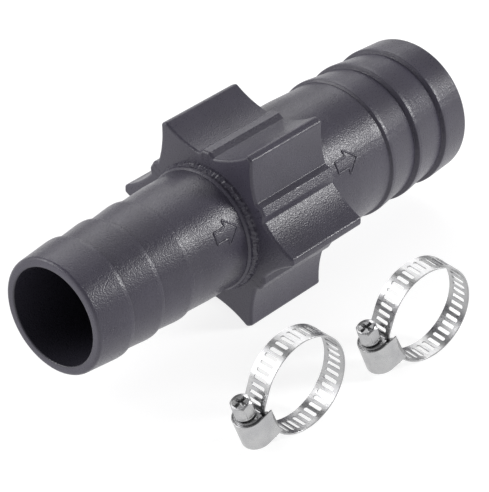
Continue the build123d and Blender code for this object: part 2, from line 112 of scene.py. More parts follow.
# ---- plug, seat and weld bead of the inlet tail
PLUG_RADIUS = 16.75
PLUG_END_X = -4.0
PLUG_END_ROUND = 0.3
PLUG_FOOT_ROUND = 0.05
SEAT_BORE_RADIUS = 11.5
SEAT_LIP_RADIUS = 12.6
SEAT_LIP_FOOT = 0.4
SEAT_ROUNDS = (0.3, 0.25)
SEAT_X = -3.4
SEAT_CONE_XS = (-12.0, -10.0)
SEAT_CONE_ROUND = 0.5
GROOVE_X = (-9.6, -7.2)
GROOVE_RADIUS = 15.4
GROOVE_EDGE_ROUND = 0.1
BEAD_PROFILE = (
    (-13.3, 15.6, 0), (-16.25, 15.6, 0), (-16.25, 16.05, 0.05), (-15.75, 16.5, 0.4),
    (-14.95, 16.55, 0.3), (-14.2, 17.1, 0.4), (-13.3, 17.2, 0),
)
BEAD_SEGMENTS = 640
BEAD_ROUGHNESS = 0.21
BEAD_FOOT_RADIUS = 15.9
BEAD_RISE = 1.3
BEAD_ROLL_END_X = -15.4  # the smooth roll lies before it and the torn edge after it
BEAD_ROLL_SHARE = 0.25
BEAD_LUMPS_PER_MM = (2.6, 1.8)  # along the axis, and square to it
BEAD_FINE_LUMPS = 2.3  # fine lumps to each coarse one
BEAD_LOSSES = (0.6, 0.9, 0.6)  # steady, from the coarse lumps, and from the fine ones
BEAD_TEAR_GAIN = 1.5  # growth of the tears over the bead's rise, until they are full
BEAD_LEAN = 0.6  # how far a tear also moves along the axis, as a share of its depth

# ---- flow arrows
ARROW_OUTLINE = (
    (4.1, 0.0), (0.3, 3.4), (0.3, 1.5), (-3.6, 1.5), (-3.6, -1.5), (0.3, -1.5), (0.3, -3.4),
)
ARROW_CORNER_ROUND = 0.25
ARROW_LINE_HALF_WIDTH = 0.3
ARROW_LINE_HEIGHT = 0.26
ARROW_LINE_DEPTH = 0.15
ARROW_LINE_STEPS = 8
INLET_ARROW = (-22.0, 62.0)  # middle along the axis, and degrees from the top towards -Y
OUTLET_ARROW = (20.6, 61.0)

# ---- return spring
SPRING_RADIUS = 5.4
SPRING_WIRE_RADIUS = 0.45
SPRING_TURNS = 4.5
SPRING_X = (0.25, 13.0)
SPRING_CLOSED_TURN = 0.8
SPRING_CLOSED_PITCH = 0.9  # of a closed turn, as a share of the wire's diameter
SPRING_STEPS_PER_TURN = 32
SPRING_SIDES = 12

# ---- hose clamps, each in its own frame: ring axis along Y, housing at -X, screw head up at +Z
BAND_RADIUS = 12.45
BAND_THICKNESS = 0.4
BAND_WIDTH = 6.8
SLOTS_ROUND_RING = 42
BLIND_PITCHES = 4
SLOT_LENGTH = 4.1
SLOT_WIDTH = 0.95
SLOT_END_STEPS = 8  # a multiple of four, so that a cell's corners fall on them
FREE_ARC = 140.0
TAIL_LIFT = 0.65
BLEND_RADIUS = 5.0
TAIL_ANGLE = 13.5
ANCHOR_END_Z = 1.0
BAND_EDGE_ROUND = 0.07
BAND_TIP_NARROWING = 0.45
FLEX_PITCHES = 3
SADDLE_THICKNESS = 0.3
SADDLE_TOP_Z = 1.8
LUG_THICKNESS = 0.35
LUG_REACH = 1.9
LUG_INSET = 1.2
LUG_EDGE_ROUND = 0.08
HOUSING_Z = (-4.85, 3.42)
DOME_AXIS_X = -15.15
HOUSING_OUTER_RADIUS = 4.03
HOUSING_WALL = 0.35
HOUSING_END_WALL = 0.45
HOUSING_LIP = 0.35
DOME_STEPS = 32
PLATE_EDGE_ROUND = 0.1
PLATE_CORNER_ROUND = 0.8
PLATE_OVERLAP = 0.05
PLATE_REACH_SHARE = 0.8  # how far the end plates reach into the shell's wall
BOSS_RADIUS = 3.35
BOSS_RISE = 0.3
HOUSING_END_CLEARANCE = 0.25
SCREW_AXIS_X = -15.65
WORM_CREST_RADIUS = 2.1
WORM_ROOT_RADIUS = 1.5
THREAD_FOOT_HALF_WIDTH = 0.62
THREAD_FLANK_WIDTH = 0.3
THREAD_RUN_OUT = 0.7
WORM_STEPS = 56
SCREW_SEGMENTS = 120
NECK_RADIUS = 1.3
JOURNAL_RADIUS = 1.0
JOURNAL_CHAMFER = 0.15
BEARING_CLEARANCE = 0.08
END_GAP = 0.3
FLANGE_RADIUS = 2.5
FLANGE_HEIGHT = 0.8
FLANGE_LOWER_ROUND = 0.4
FLANGE_UPPER_ROUND = 0.25
HEX_ACROSS_FLATS = 4.9
HEX_HEIGHT = 3.9
HEX_CORNER_ROUND = 0.3
HEX_INSET = 0.02
HEX_FOOT = 0.12
CONE_HEIGHT = 0.55
CONE_SLOPE = 0.9
CONE_INSET = 0.04
HEAD_DISH = ((0.22, 0.04), (0.45, 0.2))  # inward from the cone's top, and down
RECESS_WIDTH = 0.9
RECESS_LENGTH = 3.4
RECESS_DEPTH = 1.5
RECESS_LIP = 0.06
RECESS_EDGE_TURN = 0.004  # radians round the screw from one side of a recess edge to the other
RECESS_LIP_DEPTHS = (0.22, 0.3)
RECESS_FLOOR_SHARES = (0.72, 0.8)  # of the recess's length and width that are left at its floor

# ---- surfaces: base colours, dark and light
PLASTIC_COLOURS = ((0.048, 0.044, 0.062), (0.060, 0.055, 0.078))
# painted shade: the bore walls get a darker colour that stands in for the shade inside the bores
BORE_PAINTED_SHADE_COLOUR = (0.021, 0.020, 0.028)
BORE_SHADE_LIMITS = (13.2, 3.0)  # the radius that bounds the inlet's bore, and how much more past x = 0
BORE_SHADE_FADE = 0.6
POLISHED_STEEL_COLOURS = ((0.42, 0.42, 0.43), (0.51, 0.51, 0.51))
STEEL_WIRE_COLOURS = ((0.52, 0.51, 0.49), (0.66, 0.65, 0.63))
ACETAL_COLOURS = ((0.76, 0.74, 0.69), (0.83, 0.82, 0.78))
RUBBER_COLOURS = ((0.014, 0.014, 0.014), (0.028, 0.027, 0.026))
FLOOR_COLOURS = ((0.34, 0.34, 0.34), (0.36, 0.36, 0.36))
FLOOR_GLOW = 0.80
FLOOR_HALF_SIZE = 3.0

# ---- lights: name, azimuth and elevation in degrees, side in metres, power in watts
LIGHTS = (
    ("key_right", -44, 27, 0.3, 6.8),
    ("back_right", 48, 42, 0.8, 4.0),
    ("back_left", 125, 31, 0.8, 5.2),
    ("far_left", 142, 22, 0.7, 3.5),
    ("top", 0, 66, 0.6, 0.9),
)
LIGHT_DISTANCE = 1.2

# ---- surroundings: grey levels by the sine of the elevation, 0 at the horizon and below it
WORLD_LEVELS = (
    (0.0, 0.6), (0.35, 0.45), (0.46, 0.2), (0.53, 0.5), (0.60, 0.25), (0.85, 0.2), (1.0, 0.2),
)

# ---- camera: metres, the direction it looks in, and its roll in degrees
CAMERA_PLACE = (-0.42758, -0.37001, 0.33768)
CAMERA_AIM = (0.64367, 0.55575, -0.52615)
CAMERA_ROLL = -0.16
CAMERA_LENS = 193.65
CAMERA_SENSOR = 36.0

HINGE = Vector((BAND_RADIUS, 0.0))
SLOT_PITCH = 2 * pi * BAND_RADIUS / SLOTS_ROUND_RING
TAIL_RADIUS = 2 * BAND_RADIUS + TAIL_LIFT

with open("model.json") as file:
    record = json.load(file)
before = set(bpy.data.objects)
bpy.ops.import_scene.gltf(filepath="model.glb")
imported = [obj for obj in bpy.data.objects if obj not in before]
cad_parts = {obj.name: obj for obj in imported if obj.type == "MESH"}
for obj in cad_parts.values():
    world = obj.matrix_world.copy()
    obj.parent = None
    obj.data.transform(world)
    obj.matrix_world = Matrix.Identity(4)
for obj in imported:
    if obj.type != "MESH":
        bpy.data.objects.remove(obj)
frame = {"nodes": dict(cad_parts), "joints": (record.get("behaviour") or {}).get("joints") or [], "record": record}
cad_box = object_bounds()
scene = bpy.context.scene


# ---- materials
def new_material(name):
    """A material with its Principled shader, and a noise lookup placed in the object's metres."""
    material = bpy.data.materials.new(name)
    material.use_nodes = True
    tree = material.node_tree
    shader = tree.nodes["Principled BSDF"]
    place = tree.nodes.new("ShaderNodeTexCoord")
    return material, tree, shader, place.outputs["Object"]


def noise_of(tree, place, size, detail=2.0, stretch=(1, 1, 1)):
    """Noise whose lumps are about size metres across, longer along an axis with a small stretch."""
    mapping = tree.nodes.new("ShaderNodeMapping")
    mapping.inputs["Scale"].default_value = [s / size for s in stretch]
    tree.links.new(place, mapping.inputs["Vector"])
    node = tree.nodes.new("ShaderNodeTexNoise")
    node.inputs["Scale"].default_value = 1.0
    node.inputs["Detail"].default_value = detail
    tree.links.new(mapping.outputs["Vector"], node.inputs["Vector"])
    return node.outputs["Fac"]


def spread(tree, value, low, high, start=0.3, end=0.7):
    """Takes a value between start and end to low and high."""
    node = tree.nodes.new("ShaderNodeMapRange")
    node.inputs["From Min"].default_value = start
    node.inputs["From Max"].default_value = end
    node.inputs["To Min"].default_value = low
    node.inputs["To Max"].default_value = high
    tree.links.new(value, node.inputs["Value"])
    return node.outputs["Result"]


def two_colours(tree, value, dark, light):
    """A colour that goes from dark to light with the value. Dark may be a socket."""
    node = tree.nodes.new("ShaderNodeMix")
    node.data_type = "RGBA"
    tree.links.new(value, node.inputs[0])
    if isinstance(dark, tuple):
        node.inputs[6].default_value = (*dark, 1)
    else:
        tree.links.new(dark, node.inputs[6])
    node.inputs[7].default_value = (*light, 1)
    return node.outputs[2]


def bump_of(tree, height, strength, distance, before=None):
    """A bump from a height, on top of the one before it."""
    node = tree.nodes.new("ShaderNodeBump")
    node.inputs["Strength"].default_value = strength
    node.inputs["Distance"].default_value = distance
    tree.links.new(height, node.inputs["Height"])
    if before is not None:
        tree.links.new(before, node.inputs["Normal"])
    return node.outputs["Normal"]


def math_of(tree, operation, first, second):
    """An operation on two values, each a socket or a number."""
    node = tree.nodes.new("ShaderNodeMath")
    node.operation = operation
    for value, socket in ((first, node.inputs[0]), (second, node.inputs[1])):
        if isinstance(value, (int, float)):
            socket.default_value = value
        else:
            tree.links.new(value, socket)
    return node.outputs[0]


def bore_painted_shade(tree, place):
    """Mask of the painted shade in the bores: 1 on the walls of the two bores and 0 on the outside, from the
    distance to the flow axis.
    """
    split = tree.nodes.new("ShaderNodeSeparateXYZ")
    tree.links.new(place, split.inputs["Vector"])
    x, y, z = split.outputs
    y2 = math_of(tree, "MULTIPLY", y, y)
    z2 = math_of(tree, "MULTIPLY", z, z)
    distance = math_of(tree, "SQRT", math_of(tree, "ADD", y2, z2), 0.0)
    wider = math_of(tree, "MULTIPLY", math_of(tree, "GREATER_THAN", x, 0.0), BORE_SHADE_LIMITS[1] * MM)
    limit = math_of(tree, "ADD", wider, BORE_SHADE_LIMITS[0] * MM)
    return spread(tree, math_of(tree, "SUBTRACT", limit, distance), 0.0, 1.0, 0.0, BORE_SHADE_FADE * MM)


def dress(tree, shader, colour, roughness, normal):
    """Links a surface's colour, roughness and bump to its shader."""
    tree.links.new(colour, shader.inputs["Base Color"])
    tree.links.new(roughness, shader.inputs["Roughness"])
    tree.links.new(normal, shader.inputs["Normal"])


def make_grey_plastic():
    """Satin slate-grey moulding with a fine spark-eroded grain that glitters in the highlights.
    The walls of the bores are coloured darker: painted shade that stands in for the shade deep inside them."""
    material, tree, shader, place = new_material("grey_plastic")
    cloud = noise_of(tree, place, 0.012, 3.0)
    grain = noise_of(tree, place, 0.00036, 0.6)
    ripple = noise_of(tree, place, 0.004, 2.0)
    colour = two_colours(tree, spread(tree, cloud, 0, 1), *PLASTIC_COLOURS)
    # painted shade: the walls of the bores take the darker colour
    colour = two_colours(tree, bore_painted_shade(tree, place), colour, BORE_PAINTED_SHADE_COLOUR)
    normal = bump_of(tree, ripple, 0.12, 0.00012)
    normal = bump_of(tree, grain, 0.9, 0.00007, normal)
    dress(tree, shader, colour, spread(tree, grain, 0.26, 0.42), normal)
    shader.inputs["Specular IOR Level"].default_value = 0.5
    return material


def make_polished_steel():
    """Bright rolled stainless with faint rolling streaks and smears."""
    material, tree, shader, place = new_material("polished_steel")
    smear = noise_of(tree, place, 0.0035, 3.0)
    streak = noise_of(tree, place, 0.0004, 2.0, (1, 0.12, 1))
    colour = two_colours(tree, spread(tree, smear, 0, 1), *POLISHED_STEEL_COLOURS)
    shader.inputs["Metallic"].default_value = 1.0
    normal = bump_of(tree, smear, 0.25, 0.00012)
    normal = bump_of(tree, streak, 0.15, 0.00001, normal)
    dress(tree, shader, colour, spread(tree, streak, 0.24, 0.34), normal)
    return material


def make_steel_wire():
    """Drawn and turned stainless of the parts inside: duller, with fine tool marks."""
    material, tree, shader, place = new_material("steel_wire")
    marks = noise_of(tree, place, 0.0003, 2.0, (1, 0.3, 0.3))
    colour = two_colours(tree, spread(tree, marks, 0, 1), *STEEL_WIRE_COLOURS)
    shader.inputs["Metallic"].default_value = 1.0
    normal = bump_of(tree, marks, 0.2, 0.00001)
    dress(tree, shader, colour, spread(tree, marks, 0.22, 0.38), normal)
    return material


def make_white_acetal():
    """Off-white acetal, smooth, with a slight milky unevenness."""
    material, tree, shader, place = new_material("white_acetal")
    cloud = noise_of(tree, place, 0.006, 2.0)
    grain = noise_of(tree, place, 0.0006, 2.0)
    colour = two_colours(tree, spread(tree, cloud, 0, 1), *ACETAL_COLOURS)
    normal = bump_of(tree, grain, 0.15, 0.00003)
    dress(tree, shader, colour, spread(tree, grain, 0.28, 0.40), normal)
    shader.inputs["Subsurface Weight"].default_value = 0.08
    shader.inputs["Subsurface Radius"].default_value = (0.0008, 0.0007, 0.0006)
    return material


def make_black_rubber():
    """Matt black nitrile rubber with a dusty bloom."""
    material, tree, shader, place = new_material("black_rubber")
    bloom = noise_of(tree, place, 0.002, 3.0)
    grain = noise_of(tree, place, 0.0003, 2.0)
    colour = two_colours(tree, spread(tree, bloom, 0, 1), *RUBBER_COLOURS)
    normal = bump_of(tree, grain, 0.3, 0.00003)
    dress(tree, shader, colour, spread(tree, bloom, 0.55, 0.75), normal)
    return material


MATERIALS = {
    "grey_plastic": make_grey_plastic(),
    "polished_steel": make_polished_steel(),
    "steel_wire": make_steel_wire(),
    "white_acetal": make_white_acetal(),
    "black_rubber": make_black_rubber(),
}


# ---- mesh tools
def make_piece(name, verts, faces, slot, place=Matrix.Identity(4), sharp_angle=38.0):
    """A piece from points in millimetres, put in its place and shaded smooth up to an angle."""
    mesh = bpy.data.meshes.new(name)
    mesh.from_pydata([place @ (Vector(v) * MM) for v in verts], [], faces)
    shape = bmesh.new()
    shape.from_mesh(mesh)
    bmesh.ops.recalc_face_normals(shape, faces=shape.faces)
    shape.to_mesh(mesh)
    shape.free()
    mesh.shade_smooth()
    mesh.set_sharp_from_angle(angle=radians(sharp_angle))
    mesh.materials.append(MATERIALS[slot])
    piece = bpy.data.objects.new(name, mesh)
    scene.collection.objects.link(piece)
    return piece


def weight_normals(piece):
    """Lets the large faces set the shading, so that only the rounded edges shade as rounded."""
    modifier = piece.modifiers.new("weighted_normals", "WEIGHTED_NORMAL")
    modifier.keep_sharp = True
    modifier.weight = LARGE_FACE_WEIGHT


def loft(rings, wrap=False):
    """Points and faces of rings that are each joined to the next. With wrap the last joins the
    first, and without it the two end rings are closed."""
    count = len(rings[0])
    verts = [point for ring in rings for point in ring]
    faces = []
    for k in range(len(rings) if wrap else len(rings) - 1):
        a = k * count
        b = (k + 1) % len(rings) * count
        for i in range(count):
            j = (i + 1) % count
            faces.append((a + i, a + j, b + j, b + i))
    if not wrap:
        faces.append(tuple(range(count)))
        faces.append(tuple(range(len(verts) - count, len(verts))))
    return verts, faces


def rounded_path(corners, closed=False, steps=5):
    """Points along straight runs between corners (x, y, radius), each rounded by an arc."""
    points = []
    count = len(corners)
    for i, (x, y, radius) in enumerate(corners):
        here = Vector((x, y))
        if radius == 0 or (not closed and i in (0, count - 1)):
            points.append(here)
            continue
        back = (Vector(corners[i - 1][:2]) - here).normalized()
        ahead = (Vector(corners[(i + 1) % count][:2]) - here).normalized()
        half = acos(max(-1.0, min(1.0, back.dot(ahead)))) / 2
        centre = here + (back + ahead).normalized() * radius / sin(half)
        start = here + back * radius / tan(half) - centre
        end = here + ahead * radius / tan(half) - centre
        a0 = atan2(start.y, start.x)
        turn = (atan2(end.y, end.x) - a0 + pi) % (2 * pi) - pi
        for k in range(steps + 1):
            a = a0 + turn * k / steps
            points.append(centre + Vector((cos(a), sin(a))) * radius)
    return points


# ---- hub and outlet tail
def at(angle, radius, side):
    """The point at a radius along a direction from the axis and a distance to its side."""
    a = radians(angle)
    return Vector((radius * cos(a) - side * sin(a), radius * sin(a) + side * cos(a)))


def flank(start, end):
    """Points of the shallow hollow between a hub point and a rib, without its ends."""
    chord = end - start
    inward = Vector((-chord.y, chord.x)).normalized()
    if inward.dot(start + end) > 0:
        inward = -inward
    points = []
    for k in range(1, SIDE_STEPS):
        t = k / SIDE_STEPS
        points.append(start + chord * t + inward * SIDE_SAGITTA * 4 * t * (1 - t))
    return [(p.x, p.y, 0) for p in points]


def star_outline():
    """The hub's section with every corner rounded, in order round the axis."""
    sector = 360 / HUB_POINTS
    corners = []
    for k in range(HUB_POINTS):
        tip = k * sector
        valley = tip + sector / 2
        tip_start = at(tip, POINT_RADIUS, -POINT_HALF_WIDTH)
        tip_end = at(tip, POINT_RADIUS, POINT_HALF_WIDTH)
        rib_foot = at(valley, VALLEY_RADIUS, -RIB_BASE_HALF_WIDTH)
        rib_start = at(valley, RIB_TOP_RADIUS, -RIB_TOP_HALF_WIDTH)
        rib_end = at(valley, RIB_TOP_RADIUS, RIB_TOP_HALF_WIDTH)
        rib_far_foot = at(valley, VALLEY_RADIUS, RIB_BASE_HALF_WIDTH)
        next_tip = at(tip + sector, POINT_RADIUS, -POINT_HALF_WIDTH)
        corners += [(*tip_start, POINT_ROUND), (*tip_end, POINT_ROUND)]
        corners += flank(tip_end, rib_foot)
        corners += [(*rib_foot, RIB_FOOT_ROUND), (*rib_start, RIB_TOP_ROUND)]
        corners += [(*rib_end, RIB_TOP_ROUND), (*rib_far_foot, RIB_FOOT_ROUND)]
        corners += flank(rib_far_foot, next_tip)
    return rounded_path(corners, closed=True, steps=5)


def inset_by(outline, distance):
    """The outline moved inward, each point along the bisector of its two sides."""
    moved = []
    count = len(outline)
    for i, point in enumerate(outline):
        before = (point - outline[i - 1]).normalized()
        after = (outline[(i + 1) % count] - point).normalized()
        along = (before + after).normalized()
        moved.append(point + Vector((-along.y, along.x)) * distance)
    return moved


def hub_rings(outline):
    """Rings over the hub from its front edge to its back edge, both rounded."""
    rings = []
    steps = 5
    for k in range(steps + 1):
        a = pi / 2 * k / steps
        x = -HUB_HALF_LENGTH + HUB_EDGE_ROUND * (1 - sin(a))
        rings.append((x, inset_by(outline, HUB_EDGE_ROUND * (1 - cos(a)))))
    # k = 0 is the side's end of the round and k = steps the end face's: front edge inward first
    front = [(x, ring) for x, ring in reversed(rings)]
    back = [(-x, ring) for x, ring in rings]
    return [[(x, p.x, p.y) for p in ring] for x, ring in front + back]


def ring_at(x, radius, angles):
    """A ring about the flow axis."""
    return [(x, radius * cos(a), radius * sin(a)) for a in angles]


def barb_corners(crest_xs, end_x, neck_radius, step_radius, crest_radius, mouth_radius):
    """Corners (x, radius, round) of a tail's outside from its neck to its mouth."""
    way = 1 if end_x > 0 else -1
    corners = []
    foot = neck_radius
    for crest_x in crest_xs:
        corners.append((crest_x - way * STEP_SLOPE * STEP_FOOT_SHARE, foot, STEP_FOOT_ROUND))
        corners.append((crest_x + way * STEP_SLOPE, crest_radius, CREST_ROUND))
        corners.append((crest_x + way * CREST_LAND, crest_radius, CREST_LAND_ROUND))
        foot = step_radius
    corners.append((end_x, mouth_radius, MOUTH_ROUND))
    return corners


def make_valve_body():
    """Star hub and outlet tail in one skin: outside, mouth, bore and the cavity behind it."""
    outline = star_outline()
    angles = [atan2(p.y, p.x) for p in outline]
    rings = hub_rings(outline)
    corners = [
        (HUB_HALF_LENGTH, OUTLET_TUBE_RADIUS + OUTLET_FOOT_WIDTH, 0),
        (HUB_HALF_LENGTH, OUTLET_TUBE_RADIUS, OUTLET_FOOT_ROUND),
        (OUTLET_TAPER_XS[0], OUTLET_TUBE_RADIUS, OUTLET_TAPER_ROUNDS[0]),
        (OUTLET_TAPER_XS[1], OUTLET_NECK_RADIUS, OUTLET_TAPER_ROUNDS[1]),
        *barb_corners(
            OUTLET_CREST_XS, OUTLET_END_X, OUTLET_NECK_RADIUS,
            OUTLET_STEP_RADIUS, OUTLET_CREST_RADIUS, OUTLET_MOUTH_RADIUS,
        ),
        (OUTLET_END_X, OUTLET_BORE_RADIUS, BORE_EDGE_ROUND),
        (LEDGE_X, OUTLET_BORE_RADIUS, INNER_EDGE_ROUND),
        (LEDGE_X, CAVITY_RADIUS, INNER_EDGE_ROUND),
        (-HUB_HALF_LENGTH, CAVITY_RADIUS, INNER_EDGE_ROUND),
        (-HUB_HALF_LENGTH, CAVITY_RADIUS + 2 * INNER_EDGE_ROUND, 0),
    ]
    rings += [ring_at(p.x, p.y, angles) for p in rounded_path(corners)]
    piece = make_piece("hub_and_outlet", *loft(rings, wrap=True), "grey_plastic")
    weight_normals(piece)
    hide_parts("valve_body")
    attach(piece, "root")


# ---- inlet tail
def make_inlet_tail():
    """Inlet tail with its plug and the valve seat."""
    corners = [
        (INLET_END_X, INLET_BORE_RADIUS, BORE_EDGE_ROUND),
        (SEAT_CONE_XS[0], INLET_BORE_RADIUS, SEAT_CONE_ROUND),
        (SEAT_CONE_XS[1], SEAT_BORE_RADIUS, SEAT_CONE_ROUND),
        (SEAT_X, SEAT_BORE_RADIUS, SEAT_ROUNDS[0]),
        (SEAT_X, SEAT_LIP_RADIUS, SEAT_ROUNDS[1]),
        (PLUG_END_X, SEAT_LIP_RADIUS + SEAT_LIP_FOOT, GROOVE_EDGE_ROUND),
        (PLUG_END_X, PLUG_RADIUS, PLUG_END_ROUND),
        (GROOVE_X[1], PLUG_RADIUS, GROOVE_EDGE_ROUND),
        (GROOVE_X[1], GROOVE_RADIUS, GROOVE_EDGE_ROUND),
        (GROOVE_X[0], GROOVE_RADIUS, GROOVE_EDGE_ROUND),
        (GROOVE_X[0], PLUG_RADIUS, GROOVE_EDGE_ROUND),
        (-HUB_HALF_LENGTH, PLUG_RADIUS, PLUG_FOOT_ROUND),
        (-HUB_HALF_LENGTH, INLET_TUBE_RADIUS, PLUG_FOOT_ROUND),
        (INLET_TAPER_XS[0], INLET_TUBE_RADIUS, INLET_TAPER_ROUNDS[0]),
        (INLET_TAPER_XS[1], INLET_NECK_RADIUS, INLET_TAPER_ROUNDS[1]),
        *barb_corners(
            INLET_CREST_XS, INLET_END_X, INLET_NECK_RADIUS,
            INLET_STEP_RADIUS, INLET_CREST_RADIUS, INLET_MOUTH_RADIUS,
        ),
    ]
    angles = [2 * pi * i / TAIL_SEGMENTS for i in range(TAIL_SEGMENTS)]
    rings = [ring_at(p.x, p.y, angles) for p in rounded_path(corners, closed=True)]
    piece = make_piece("inlet_tail_skin", *loft(rings, wrap=True), "grey_plastic")
    weight_normals(piece)
    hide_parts("inlet_tail")
    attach(piece, "root")


def bead_loss(x, radius, angle):
    """How far the torn flash of the weld bead stands back from its full size, in millimetres."""
    across = (radius - BEAD_FOOT_RADIUS) / BEAD_RISE
    if across <= 0 or x > -HUB_HALF_LENGTH:
        return 0.0
    share = BEAD_ROLL_SHARE if x < BEAD_ROLL_END_X else 1.0
    roughness = BEAD_ROUGHNESS * share * min(1.0, across * BEAD_TEAR_GAIN)
    along, square = BEAD_LUMPS_PER_MM
    where = Vector((x * along, radius * cos(angle) * square, radius * sin(angle) * square))
    steady, coarse, fine = BEAD_LOSSES
    coarse *= noise.noise(where)
    fine *= noise.noise(where * BEAD_FINE_LUMPS)
    return roughness * max(0.0, steady + coarse + fine)


def make_weld_bead():
    """The bead of flash at the foot of the inlet tail: a smooth roll, a valley, a torn edge."""
    path = rounded_path(BEAD_PROFILE, closed=True, steps=4)
    rings = []
    for p in path:
        ring = []
        for i in range(BEAD_SEGMENTS):
            a = 2 * pi * i / BEAD_SEGMENTS
            loss = bead_loss(p.x, p.y, a)
            radius = p.y - loss
            ring.append((p.x + BEAD_LEAN * loss, radius * cos(a), radius * sin(a)))
        rings.append(ring)
    piece = make_piece("weld_bead", *loft(rings, wrap=True), "grey_plastic", sharp_angle=60.0)
    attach(piece, "root")


# ---- raised flow arrows on the two tails
def make_flow_arrow(name, centre_x, angle, tube_radius):
    """An arrow drawn by a low rounded ridge on a tube. The angle goes from the top towards -Y."""
    corners = [(x, y, ARROW_CORNER_ROUND) for x, y in ARROW_OUTLINE]
    path = rounded_path(corners, closed=True, steps=4)
    rings = []
    count = len(path)
    for i, point in enumerate(path):
        before = (point - path[i - 1]).normalized()
        after = (path[(i + 1) % count] - point).normalized()
        along = (before + after).normalized()
        across = Vector((-along.y, along.x)) / max(0.5, along.dot(after))
        ring = []
        for k in range(ARROW_LINE_STEPS + 1):
            a = pi * k / ARROW_LINE_STEPS
            side = point + across * ARROW_LINE_HALF_WIDTH * cos(a)
            height = ARROW_LINE_HEIGHT * sin(a)
            ring.append((side, height))
        ring.append((point - across * ARROW_LINE_HALF_WIDTH, -ARROW_LINE_DEPTH))
        ring.append((point + across * ARROW_LINE_HALF_WIDTH, -ARROW_LINE_DEPTH))
        on_tube = []
        for side, height in ring:
            turn = radians(angle) + side.y / tube_radius
            radius = tube_radius + height
            on_tube.append((centre_x + side.x, -radius * sin(turn), radius * cos(turn)))
        rings.append(on_tube)
    piece = make_piece(name, *loft(rings, wrap=True), "grey_plastic", sharp_angle=60.0)
    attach(piece, "root")


# ---- return spring
def make_spring():
    """Coil whose end turns are closed up flat. It sits fixed to the valve body, and is not made to squeeze as the
    valve opens.
    """
    x0 = SPRING_X[0] + SPRING_WIRE_RADIUS
    x1 = SPRING_X[1] - SPRING_WIRE_RADIUS
    turns = SPRING_TURNS + 2
    flat = SPRING_CLOSED_TURN
    closed = 2 * SPRING_WIRE_RADIUS * SPRING_CLOSED_PITCH
    steps = int(turns * SPRING_STEPS_PER_TURN)
    rings = []
    for i in range(steps + 1):
        turn = turns * i / steps
        rise = min(1.0, max(0.0, (turn - flat) / (turns - 2 * flat)))
        start = closed * min(turn, flat) / flat * 0.5
        end = closed * min(turns - turn, flat) / flat * 0.5
        x = x0 + start + (x1 - x0 - closed) * rise + (closed * 0.5 - end)
        a = 2 * pi * turn
        ring = []
        for k in range(SPRING_SIDES):
            b = 2 * pi * k / SPRING_SIDES
            radius = SPRING_RADIUS + SPRING_WIRE_RADIUS * cos(b)
            ring.append((x + SPRING_WIRE_RADIUS * sin(b), radius * cos(a), radius * sin(a)))
        rings.append(ring)
    piece = make_piece("return_spring_coil", *loft(rings), "steel_wire", sharp_angle=60.0)
    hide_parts("return_spring")
    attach(piece, "root")
    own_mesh(piece)


# ---- hose clamps
def joint(name):
    """The frame's row for a joint."""
    return next(j for j in frame["joints"] if j["name"] == name)


def clamp_place(clamp):
    """The clamp's own frame, from the axes of its screw and its strap's hinge, in metres."""
    flex = joint(f"{clamp}_band_flex")
    y_axis = -Vector(flex["axis"]).normalized()
    z_axis = -Vector(joint(f"{clamp}_screw_turn")["axis"]).normalized()
    x_axis = y_axis.cross(z_axis)
    origin = Vector(flex["pos_m"]) - x_axis * BAND_RADIUS * MM
    place = Matrix((x_axis, y_axis, z_axis)).transposed().to_4x4()
    place.translation = origin
    return place


def arc_run(centre, radius, a0, a1):
    """A stretch of the strap's line: its length, and the point and direction along it."""
    def where(s):
        a = a0 + (a1 - a0) * s / length
        point = centre + Vector((cos(a), sin(a))) * radius
        return point, Vector((-sin(a), cos(a)))
    length = radius * (a1 - a0)
    return length, where


def straight_run(start, end):
    """A straight stretch of the strap's line."""
    along = (end - start).normalized()
    return (end - start).length, lambda s: (start + along * s, along)


def strap_runs():
    """The strap's middle line in the plane of the ring, from its anchored end under the ring,
    past the hinge and over the top, to the tail that slides on an arc about the hinge."""
    a = radians(FREE_ARC)
    leave = Vector((cos(a), sin(a))) * BAND_RADIUS
    along = Vector((-sin(a), cos(a)))
    inward = Vector((-cos(a), -sin(a)))
    offset = leave + inward * BLEND_RADIUS - HINGE
    reach = TAIL_RADIUS - BLEND_RADIUS
    half = offset.dot(along)
    straight = -half + sqrt(half * half - offset.dot(offset) + reach * reach)
    line_end = leave + along * straight
    centre = line_end + inward * BLEND_RADIUS
    out = (centre - HINGE).normalized()
    tail_start = atan2(out.y, out.x)
    middle = Vector((0.0, 0.0))
    start = pi - ANCHOR_END_Z / BAND_RADIUS
    fixed = [arc_run(middle, BAND_RADIUS, start, 2 * pi)]
    free = [
        arc_run(middle, BAND_RADIUS, 0.0, a),
        straight_run(leave, line_end),
        arc_run(centre, BLEND_RADIUS, a, tail_start),
        arc_run(HINGE, TAIL_RADIUS, tail_start, pi + radians(TAIL_ANGLE)),
    ]
    return fixed, free


FIXED_RUNS, FREE_RUNS = strap_runs()
FIXED_LENGTH = sum(length for length, where in FIXED_RUNS)
FREE_LENGTH = sum(length for length, where in FREE_RUNS)


def strap_point(s, y, height):
    """A point of the strap: s along it from the hinge, y across it, height above its middle."""
    runs = FREE_RUNS
    if s < 0:
        s += FIXED_LENGTH
        runs = FIXED_RUNS
    for length, where in runs:
        if s <= length or (length, where) == runs[-1]:
            point, along = where(s)
            break
        s -= length
    normal = Vector((along.y, -along.x))
    return (point.x + normal.x * height, y, point.y + normal.y * height)


